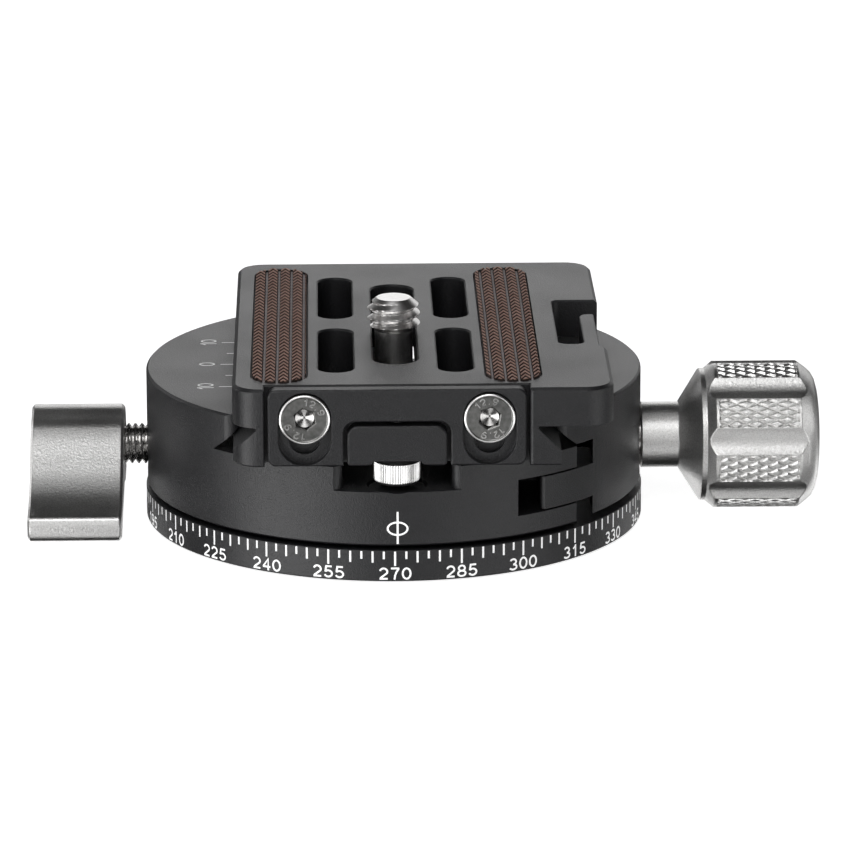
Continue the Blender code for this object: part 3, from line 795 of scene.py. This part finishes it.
# ============================================================================
# Screws with real threads
# ============================================================================
def threaded(name, stations, pitch, major, depth, t0, t1, axis, centre, mat, body, nodes, segs=96,
             fade=(0.5, 0.5), per_pitch=14, phase=0.0):
    """Turned rod through (t, r) stations; between t0 and t1 a right-hand groove is cut into it."""
    ts = set(round(s[0], 4) for s in stations)
    ts |= set(np.round(np.arange(max(t0, stations[0][0]), min(t1, stations[-1][0]), pitch / per_pitch), 4).tolist())
    ts = np.array(sorted(ts))
    r = np.interp(ts, [s[0] for s in stations], [s[1] for s in stations])[:, None].repeat(segs, 1)
    a = 2 * np.pi * np.arange(segs) / segs
    f = ts[:, None] / pitch - a[None] / (2 * np.pi) + phase
    ridge = np.clip(np.abs(f - np.floor(f) - 0.5) * 2, 0.10, 0.88)
    cut = depth * (ridge - 0.10) / 0.78
    inside = np.clip((ts - t0) / max(pitch * fade[0], 1e-6), 0, 1) * np.clip((t1 - ts) / max(pitch * fade[1], 1e-6), 0, 1)
    inside = np.where((ts >= t0) & (ts <= t1), inside, 0)
    r = np.where(inside[:, None] > 0, np.minimum(r, major - cut * inside[:, None]), r)
    return surface(name, ring_points(axis, centre, ts, r), mat, body, nodes, 24)


SCREW_Y = -3.0
shank = [(14.5, 4.9), (14.75, 5.5), (15.85, 5.5), (15.9, 5.4), (15.9001, 2.3), (23.35, 2.3), (23.6, 2.45),
         (24.15, 3.175), (26.42, 3.175), (27.28, 2.16), (27.35, 2.05)]
threaded("camera_screw_skin", shank, 1.27, 3.175, 0.72, 23.5, 28.0, 'Z', (0, SCREW_Y, 0), BRIGHT, "camera_screw",
         ["camera_screw"], 144, (0.4, 0), 22, 0.465)
threaded("lock_screw_skin", [(-40.0, 2.3), (-39.8, 2.5), (-14.6, 2.5), (-14.25, 2.1)], 0.8, 2.5, 0.44, -34.5, -14.0,
         'X', (0, 0, 8.46), STEEL, "lock_knob", ["lock_screw"], 72, (0.1, 0.1), 12)
threaded("clamp_screw_skin", [(13.3, 2.1), (13.7, 2.5), (44.4, 2.5), (44.7, 2.3)], 0.8, 2.5, 0.44, 13.0, 28.0,
         'X', (0, 0, AXIS_Z), STEEL, "clamp_knob", ["clamp_screw"], 64, (0.1, 0.5), 10)


# ============================================================================
# Pan lock lever
# ============================================================================
def smooth_path(points, per=6):
    pts = [Vector(p) for p in points]
    out = []
    count = len(pts)
    for i in range(count):
        p0, p1, p2, p3 = (pts[(i + k - 1) % count] for k in range(4))
        for s in range(per):
            t = s / per
            out.append(0.5 * ((2 * p1) + (-p0 + p2) * t + (2 * p0 - 5 * p1 + 4 * p2 - p3) * t * t
                              + (-p0 + 3 * p1 - 3 * p2 + p3) * t ** 3))
    return [(p.x, p.y) for p in out]


def lever():
    hub = 4.85
    z = 8.46
    pts = []
    for k in range(13):
        a = math.radians(118 - 215 * k / 12)
        pts.append((hub * math.cos(a), z + hub * math.sin(a)))
    pts += [(-3.4, 4.15), (-6.5, 3.55), (-9.5, 2.6), (-12.0, 1.6), (-14.2, 0.95), (-15.6, 0.86)]
    pts += [(-16.45, 1.25), (-16.85, 2.0), (-16.85, 3.1), (-16.45, 4.0)]
    pts += [(-15.2, 4.35), (-13.6, 4.8), (-11.6, 5.7), (-9.6, 7.1), (-7.7, 8.9), (-5.7, 10.9), (-4.1, 12.1)]
    solid = Solid("lock_knob_skin", slab(smooth_path(pts, 5), 'X', -43.9, -32.7, 0.34, 0.34))
    solid.cut(cylinder('X', -40.3, -31, 2.8, (0, 0, z), 48))
    return solid.done(SILVER, "lock_knob", ["lock_knob"], "silver_aluminium")


lever()


# ============================================================================
# Camera plate
# ============================================================================
PZ0, PZ1 = 14.0, 23.3
X0, X1 = -19.15, 25.25
PY = 30.15


def plate():
    solid = Solid("camera_plate_skin", slab(rounded(X0, X1, -PY, PY, 3.3, 12), 'Z', PZ0, PZ1, 0.2, 0.42))
    # undercuts beside the dovetail leave the top's edges standing out
    solid.cut(prism([(-30, 18.7), (-19.15 + 0.0, 18.7), (-16.5, 18.7), (-16.4, 18.6), (-16.4, 18.4), (-19.0, 15.8),
                     (-19.1, 15.6), (-19.1, 13), (-30, 13)], 'Y', -PY - 1, PY + 1))
    solid.cut(prism([(30, 18.7), (25.0, 18.7), (16.5, 18.7), (16.4, 18.6), (16.4, 18.4), (19.0, 15.8),
                     (19.1, 15.6), (19.1, 13), (30, 13)], 'Y', -PY - 1, PY + 1))
    # rebate for the flange; the ears' vertical edges are rounded
    flare = [(-15.42, -28.0), (-15.42, -29.75)]
    flare += [(-15.82 + 0.4 * math.cos(math.radians(t)), -29.75 - 0.4 * math.sin(math.radians(t)))
              for t in range(15, 91, 15)]
    flare += [(-15.9, -31.5)]
    flare = flare + [(-x, y) for x, y in reversed(flare)]
    solid.cut(opening(flare, 'Z', 12, PZ1, 0.16))
    solid.join(slab(rounded(-5.8, 5.8, PZ0, 18.8, (0.4, 0.4, 1.3, 1.3), 8), 'Y', -29.98, -27.5, 0.2, 0))
    # centre slot, windows and the strips' pockets
    solid.cut(opening(rounded(-2.62, 2.62, -18.9, 18.9, 2.6, 14), 'Z', 12, PZ1, 0.2))
    for sx in (-1, 1):
        for sy in (-1, 1):
            x0, x1 = sorted((sx * 4.97, sx * 9.12))
            y0, y1 = sorted((sy * 2.45, sy * 22.45))
            solid.cut(opening(rounded(x0, x1, y0, y1, 2.05, 12), 'Z', 12, PZ1, 0.2))
        x0, x1 = sorted((sx * 10.38, sx * 17.02))
        solid.cut(opening(rounded(x0, x1, -27.1, 27.1, 3.3, 14), 'Z', 22.6, PZ1, 0.06))
        solid.cut(cylinder('Y', -32, -22.9, 1.8, (sx * 10.74, 0, 19.65), 32))
    solid.cut(prism(rounded(-10.2, 10.2, -23.7, 23.7, 2.0, 6), 'Z', 12, 17.4))
    for sign in (-1, 1):
        solid.cut(turned([(12, 0), (12, 3.2), (14.85, 3.2), (14.85, 1.8), (19.2, 1.8), (19.2, 0)],
                         'Z', (0, sign * 26.6, 0), 64))
        y0, y1 = sorted((sign * 26.6, sign * 31.0))
        solid.cut(prism([(-2.93, 12.1), (2.93, 12.1), (2.93, 14.35), (2.84, 14.5), (2.65, 14.57), (-2.65, 14.57),
                         (-2.84, 14.5), (-2.93, 14.35)], 'Y', y0, y1 + 0.013))
        solid.cut(turned([(12, 0), (12, 3.75), (13.95, 3.75), (14.1, 3.6), (14.25, 3.2), (14.25, 0)], 'Z',
                         (0, sign * 28.9, 0), 64))
    # strap slot
    def fillet(cx, cy, r, a0, a1):
        return arc(cx, cy, r, a0, a1, 6)
    slot = [(19.6, -9.1)] + fillet(20.8, -9.1, 1.2, 180, 270) + fillet(21.55, -9.2, 1.1, 270, 360)
    slot += [(22.65, 2.55)] + fillet(23.85, 2.55, 1.2, 180, 90)
    slot += [(24.45, 3.75), (24.45, -11.1)] + [(25.25 - 0.8 * math.cos(math.radians(t)), -11.1 - 0.8 * math.sin(math.radians(t)))
                                               for t in range(15, 91, 15)]
    slot += [(27.5, -11.9), (27.5, 10.5), (20.6, 10.5)]
    slot += fillet(20.6, 9.5, 1.0, 90, 180)
    solid.cut(opening(slot, 'Z', 12, PZ1, 0.14))
    solid.clean(0.003)
    return solid.done(BLACK, "plate", ["camera_plate"], "black_anodised")


plate()


# ============================================================================
# Anti-twist flange
# ============================================================================
def flange():
    y_back, y_front = -28.3, -29.95
    solid = Solid("anti_twist_flange_skin",
                  slab(rounded(-15.05, 15.05, 14.0, 23.2, 1.0, 8), 'Y', y_front, y_back, 0.2, 0.1))
    notch = [(-6.25, 12)] + [(-4.85 - 1.4 * math.cos(math.radians(t)), 17.9 + 1.4 * math.sin(math.radians(t)))
                             for t in range(0, 91, 10)]
    notch = notch + [(-x, z) for x, z in reversed(notch)]
    solid.cut(opening(notch, 'Y', -27, y_front, 0.16))
    for sx in (-1, 1):
        cx = sx * 10.74
        slot = arc(cx, 19.75, 1.85, 0, 180, 16) + arc(cx, 17.05, 1.85, 180, 360, 16)
        solid.cut(prism(slot, 'Y', -32, -27))
        sink = arc(cx, 19.75, 3.10, 0, 180, 24) + arc(cx, 17.2, 3.10, 180, 360, 24)
        solid.cut(opening(sink, 'Y', -28.85, y_front, 0.08))
    solid.clean(0.003)
    return solid.done(BLACK, "flange", ["anti_twist_flange"], "black_anodised")


flange()


# ============================================================================
# Flange screws: flat heads with a hex socket and raised figures
# ============================================================================
def flange_screw(side, sx):
    cx, cz = sx * 10.74, 19.65
    solid = Solid("flange_screw_%s_skin" % side, turned([
        (-29.90, 0), (-29.92, 2.56), (-29.96, 2.62), (-30.02, 2.68), (-30.04, 2.80), (-29.99, 2.92),
        (-29.88, 2.97), (-29.25, 2.97), (-29.15, 2.87), (-29.15, 1.5), (-23.4, 1.5), (-23.2, 1.3), (-23.2, 0)], 'Y',
        (cx, 0, cz), 72))
    solid.cut(turned([(-31, 0), (-31, 1.50), (-29.93, 1.50), (-29.80, 1.32), (-28.7, 1.30), (-28.3, 0)], 'Y',
                     (cx, 0, cz), 6, phase=math.radians(10 * sx)))
    # head face in the darker painted-shade steel
    solid.done(SHADED_HEAD_STEEL, "plate", ["flange_screw_" + side], "steel", 20)
    # painted highlight: the head's outer rim is a separate ring in the lighter bright steel
    ring = Solid("flange_screw_%s_rim" % side, turned([
        (-29.93, 2.70), (-30.03, 2.74), (-30.05, 2.84), (-30.0, 2.93), (-29.88, 2.985), (-29.6, 2.985),
        (-29.6, 2.70)], 'Y', (cx, 0, cz), 96, loop=True))
    ring.done(BRIGHT, "plate", (), "steel")
    well = Solid("flange_screw_%s_socket" % side, turned([
        (-28.9, 0), (-28.95, 0.35), (-29.25, 1.08), (-29.2, 1.13), (-28.6, 1.13), (-28.6, 0)], 'Y', (cx, 0, cz), 48))
    well.done(STEEL, "plate", (), "steel")
    raised = Decal()
    for words, middle in (("12.9", 78), ("12.9", 258)):
        co, faces = figures(words, 0.82, 0.90, 0.17)
        rr = 2.10
        a = math.radians(middle + 24 * sx) - co[:, 0] / rr
        rad = rr + co[:, 1]
        x, z = cx + rad * np.cos(a), cz + rad * np.sin(a)
        top = np.stack([x, np.full(len(co), -30.03), z], 1)
        low = np.stack([x, np.full(len(co), -29.89), z], 1)
        m = len(co)
        walls = []
        for f in faces:
            for i in range(4):
                p, q = f[i], f[(i + 1) % 4]
                walls.append([p, q, m + q, m + p])
        raised.add(np.concatenate([top, low]), faces + walls)
    # the raised figures also take the lighter bright steel, a painted highlight
    raised.done("flange_screw_%s_figures" % side, BRIGHT, "plate", "steel")


flange_screw("left", -1)
flange_screw("right", 1)


# ============================================================================
# Stop screws: low straight-knurled heads
# ============================================================================
def safety_screw(side, sign):
    segs = 480
    profile = [(11.25, 1.15), (11.2501, 2.35), (11.33, 2.52), (11.62, 2.76), (11.7, 2.8), (13.78, 2.8), (13.84, 2.76),
               (14.3, 2.22), (14.35, 2.1), (14.3501, 1.5), (18.7, 1.5), (18.9, 1.3)]
    ts = np.array([p[0] for p in profile])
    base_r = np.array([p[1] for p in profile])
    a = 2 * np.pi * np.arange(segs) / segs
    teeth = np.abs(((a * 60 / (2 * np.pi)) % 1.0) - 0.5) * 2
    side_on = ((ts > 11.65) & (ts < 13.8)).astype(float)
    r = base_r[:, None] - 0.10 * np.clip(1.3 * (1 - teeth[None]), 0, 1) * side_on[:, None]
    pts = ring_points('Z', (0, sign * 26.6, 0), ts, r)
    hexa = 1.0 / np.cos((a % (math.pi / 3)) - math.pi / 6)
    well = ring_points('Z', (0, sign * 26.6, 0), np.array([12.6, 11.25]), np.array([[1.15], [1.15]]) * hexa[None])
    surface("safety_screw_%s_skin" % side, np.concatenate([well, pts[1:]]), STOP_STEEL, "plate",
            ["safety_screw_" + side], 30)


safety_screw("front", -1)
safety_screw("rear", 1)


# ============================================================================
# Rubber strips: columns of nested chevron ribs
# ============================================================================
def strip(side, sx):
    x0, x1 = sorted((sx * 10.5, sx * 16.9))
    half_y = 26.98
    hx = (x1 - x0) / 2
    cx = (x0 + x1) / 2
    corner = 3.15
    nx, ny = 92, 800
    u = np.linspace(-1, 1, nx)
    y = np.linspace(-half_y, half_y, ny)
    near = half_y - np.abs(y)
    bend = np.where(near < corner, corner - np.sqrt(np.maximum(corner ** 2 - (corner - near) ** 2, 0)), 0)
    width = np.maximum(hx - bend, 0.15)
    X = u[None] * width[:, None] + cx
    Y = np.repeat(y[:, None], nx, 1)
    pitch_x, rib_x, pitch_y = 1.545, 1.28, 1.48
    start = -16.90 if sx < 0 else 9.80
    col = (X - start) / pitch_x
    f = col - np.floor(col)
    dx = np.abs(f * pitch_x - rib_x / 2)
    on_rib = np.clip((rib_x / 2 - dx) / 0.06, 0, 1)
    g = (Y + 2.55 * np.minimum(dx, rib_x / 2)) / pitch_y
    g = g - np.floor(g)
    # flat top with a sharp front face and a sloping back
    rib = np.clip(np.minimum(g / 0.10, (0.62 - g) / 0.06), 0, 1)
    top = 23.08 + on_rib * (0.12 + 0.33 * rib)
    margin = np.minimum(width[:, None] - np.abs(X - cx), np.minimum(near[:, None], 1.0) * 0.7)
    top = np.where(margin < 0.07, 23.08, top)
    verts = np.stack([X, Y, top], 2).reshape(-1, 3)
    idx = np.arange(nx * ny).reshape(ny, nx)
    a, b, c, d = idx[:-1, :-1], idx[:-1, 1:], idx[1:, 1:], idx[1:, :-1]
    faces = np.stack([a, b, c, d], 2).reshape(-1, 4).tolist()
    border = idx[0, :].tolist() + idx[1:, -1].tolist() + idx[-1, -2::-1].tolist() + idx[-2:0:-1, 0].tolist()
    base_index = nx * ny
    low = verts[border].copy()
    low[:, 2] = 22.85
    count = len(border)
    for i in range(count):
        j = (i + 1) % count
        faces.append([border[j], border[i], base_index + i, base_index + j])
    faces.append([base_index + i for i in range(count)])
    mesh = bpy.data.meshes.new("rubber_strip_" + side)
    mesh.from_pydata(verts.tolist() + low.tolist(), [], faces)
    bm = bmesh.new()
    bm.from_mesh(mesh)
    bmesh.ops.recalc_face_normals(bm, faces=bm.faces)
    bm.to_mesh(mesh)
    bm.free()
    finish_mesh("rubber_strip_%s_skin" % side, mesh, RUBBER, "plate", 30, ["rubber_strip_" + side])


strip("left", -1)
strip("right", 1)


# ============================================================================
# Pieces kept from the frame get their finish
# ============================================================================
def dress(names, mat):
    for name in names:
        obj = NODES[name]
        obj.data.materials.clear()
        obj.data.materials.append(mat)


dress(["tripod_thread_insert", "retaining_plate", "retaining_screw_1", "retaining_screw_2", "retaining_screw_3",
       "clamp_thrust_washer", "jaw_spring_front", "jaw_spring_rear"], STEEL)
dress(["clamp_nut", "lock_pad"], BRASS)
dress(["lower_thrust_washer", "upper_thrust_washer", "camera_screw_washer"], POLYMER)
dress(["cover_disc"], BLACK)


# ============================================================================
# Floor and light
# ============================================================================
def floor():
    mesh = bpy.data.meshes.new("floor")
    s = 6.0
    mesh.from_pydata([(-s, -s, 0), (s, -s, 0), (s, s, 0), (-s, s, 0)], [], [(0, 1, 2, 3)])
    obj = bpy.data.objects.new("floor", mesh)
    scene.collection.objects.link(obj)
    obj.location.z = -0.0002
    mat = bpy.data.materials.new("pale_floor")
    mat.use_nodes = True
    nt = mat.node_tree
    bsdf = nt.nodes["Principled BSDF"]
    bsdf.inputs["Base Color"].default_value = (0.85, 0.85, 0.85, 1)
    bsdf.inputs["Roughness"].default_value = 0.9
    bsdf.inputs["Specular IOR Level"].default_value = 0.0
    bsdf.inputs["Emission Color"].default_value = (1, 1, 1, 1)
    bsdf.inputs["Emission Strength"].default_value = 0.85
    mesh.materials.append(mat)
    obj.visible_glossy = False
    obj.visible_diffuse = False
    obj.visible_shadow = False


floor()


def world_light():
    world = bpy.data.worlds.new("studio")
    scene.world = world
    world.use_nodes = True
    nt = world.node_tree
    nt.nodes.clear()
    out = nt.nodes.new("ShaderNodeOutputWorld")
    bg = nt.nodes.new("ShaderNodeBackground")
    nt.links.new(bg.outputs[0], out.inputs[0])
    path = nt.nodes.new("ShaderNodeLightPath")
    nt.links.new(path.outputs["Is Camera Ray"], bg.inputs["Strength"])
    bg.inputs["Color"].default_value = (1, 1, 1, 1)


world_light()

# Square soft boxes on a dome round the head: (azimuth from the front towards +X, elevation, power)
DOME_RADIUS = 0.55
SOFT_BOXES = [
    (-120, -45, 0.04), (-90, -45, 0.05), (0, -45, 0.26), (90, -45, 0.04),
    (-60, -15, 1.01), (-30, -15, 0.66), (30, -15, 0.42), (60, -15, 0.42),
    (90, -15, 0.06), (120, -15, 0.09), (-180, 15, 0.33), (-150, 15, 0.05),
    (-120, 15, 0.36), (-60, 15, 0.42), (0, 15, 0.27), (90, 15, 0.30),
    (150, 15, 0.21), (-60, 45, 0.12), (-30, 45, 0.88), (0, 45, 0.62),
    (-45, 75, 0.19), (45, 75, 0.07),
]


SOFT_BOXES += [(-140, -32, 0.35), (180, -32, 0.35), (140, -32, 0.35)]


def soft_boxes(gain=1.0):
    target = Vector((0.0035, 0.0, 0.011))
    for az, elev, power in SOFT_BOXES:
        a, e = math.radians(az), math.radians(elev)
        d = Vector((math.sin(a) * math.cos(e), -math.cos(a) * math.cos(e), math.sin(e)))
        name = "soft_box_%d_%d" % (az % 360, elev + 90)
        light = bpy.data.lights.new(name, 'AREA')
        light.shape = 'RECTANGLE'
        width = max(0.5, math.cos(e))
        light.size = 0.29 * width
        light.size_y = 0.29
        light.energy = power * width * gain
        obj = bpy.data.objects.new(name, light)
        obj.location = target + d * DOME_RADIUS
        obj.rotation_euler = (-d).to_track_quat('-Z', 'Y').to_euler()
        obj.visible_camera = False
        scene.collection.objects.link(obj)


soft_boxes()
scene.view_settings.view_transform = 'Standard'
scene.view_settings.look = 'None'
scene.view_settings.exposure = 0.0
